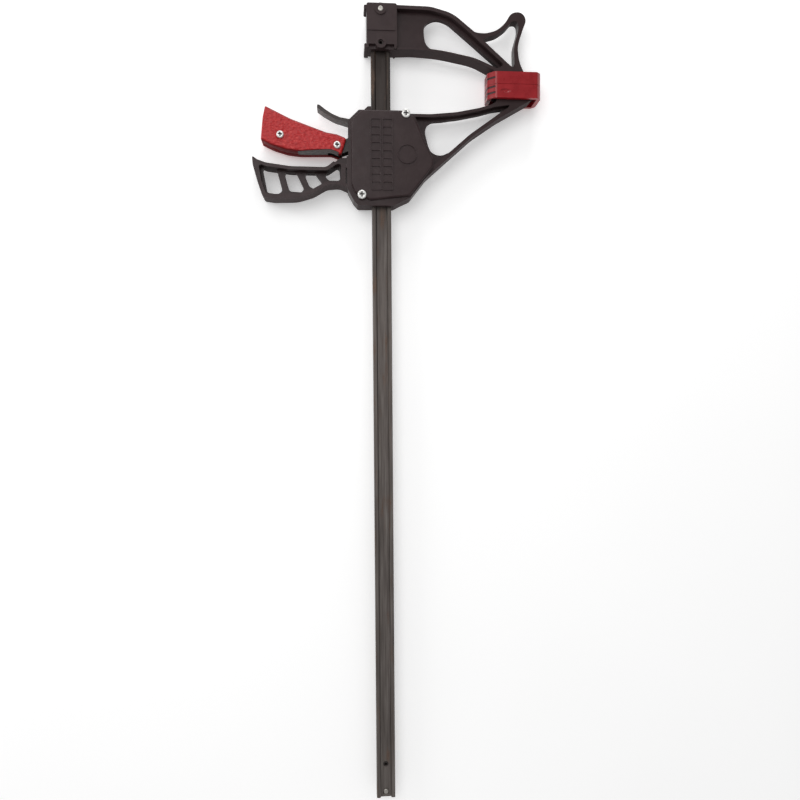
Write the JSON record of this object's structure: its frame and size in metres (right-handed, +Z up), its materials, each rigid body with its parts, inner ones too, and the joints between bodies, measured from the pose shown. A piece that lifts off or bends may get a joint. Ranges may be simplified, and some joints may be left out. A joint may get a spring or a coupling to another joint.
{
  "type": "f clamp",
  "caption": "One-handed quick-action bar clamp: cast fixed jaw on a flat steel bar, sliding head with trigger grip, handle, release lever and rubber-booted jaws.",
  "frame": {"origin": "centre of the fixed pad's clamping face", "axes": "+Y along the bar towards the fixed jaw, +X away from the bar on the jaws' side, +Z up, through the clamp's thickness as it lies flat"},
  "size_m": [0.3, 0.8405, 0.0312],
  "materials": {
    "bar_steel": "mill-scaled, lightly rusted",
    "pin_steel": "bright",
    "casting": "satin moulded glass-filled nylon",
    "pad_rubber": "satin",
    "grip_plastic": "grained",
    "zinc_screw": "zinc plated",
    "dark_steel": "blackened",
    "spring_steel": "bright"
  },
  "bodies": {
    "fixed_frame": {"bar": "bar_steel", "bar_end_rivet": "pin_steel", "bar_roll_pin": "pin_steel", "fixed_jaw": "casting", "jaw_pin_lower": "pin_steel", "jaw_pin_upper": "pin_steel", "fixed_jaw_pad": "pad_rubber"},
    "carriage": {"jaw_housing": "casting", "housing_cover": "casting", "cover_screws": "zinc_screw", "moving_jaw_pad": "pad_rubber", "trigger_pivot_pin": "pin_steel", "release_pivot_pin": "pin_steel", "drive_spring": "spring_steel", "release_spring": "spring_steel"},
    "trigger": {"trigger_lever": "dark_steel", "grip_cheek_front": "grip_plastic", "grip_cheek_back": "grip_plastic", "grip_screws": "zinc_screw", "grip_nuts": "zinc_screw"},
    "release": {"release_lever": "dark_steel"},
    "drive_plates": {"jam_plate_1": "dark_steel", "jam_plate_2": "dark_steel", "jam_plate_3": "dark_steel"}
  },
  "joints": [
    {"name": "head_slide", "type": "slide", "parent": "fixed_frame", "child": "carriage", "axis": [0, -1, 0], "range_m": [0, 0.592]},
    {"name": "trigger_squeeze", "type": "hinge", "parent": "carriage", "child": "trigger", "pos_m": [-0.1235, -0.052, 0], "axis": [0, 0, 1], "range_deg": [0, 8], "stiffness_Nm_per_rad": 2},
    {"name": "release_press", "type": "hinge", "parent": "carriage", "child": "release", "pos_m": [-0.1205, -0.039, 0], "axis": [0, 0, 1], "range_deg": [0, 6], "stiffness_Nm_per_rad": 1, "deforming": ["release_spring"]},
    {"name": "plates_drive", "type": "slide", "parent": "carriage", "child": "drive_plates", "axis": [0, -1, 0], "range_m": [0, 0.0056], "deforming": ["drive_spring"]}
  ],
  "couplings": [
    {"joint": "plates_drive", "follows": "trigger_squeeze", "m_per_rad": 0.039}
  ]
}
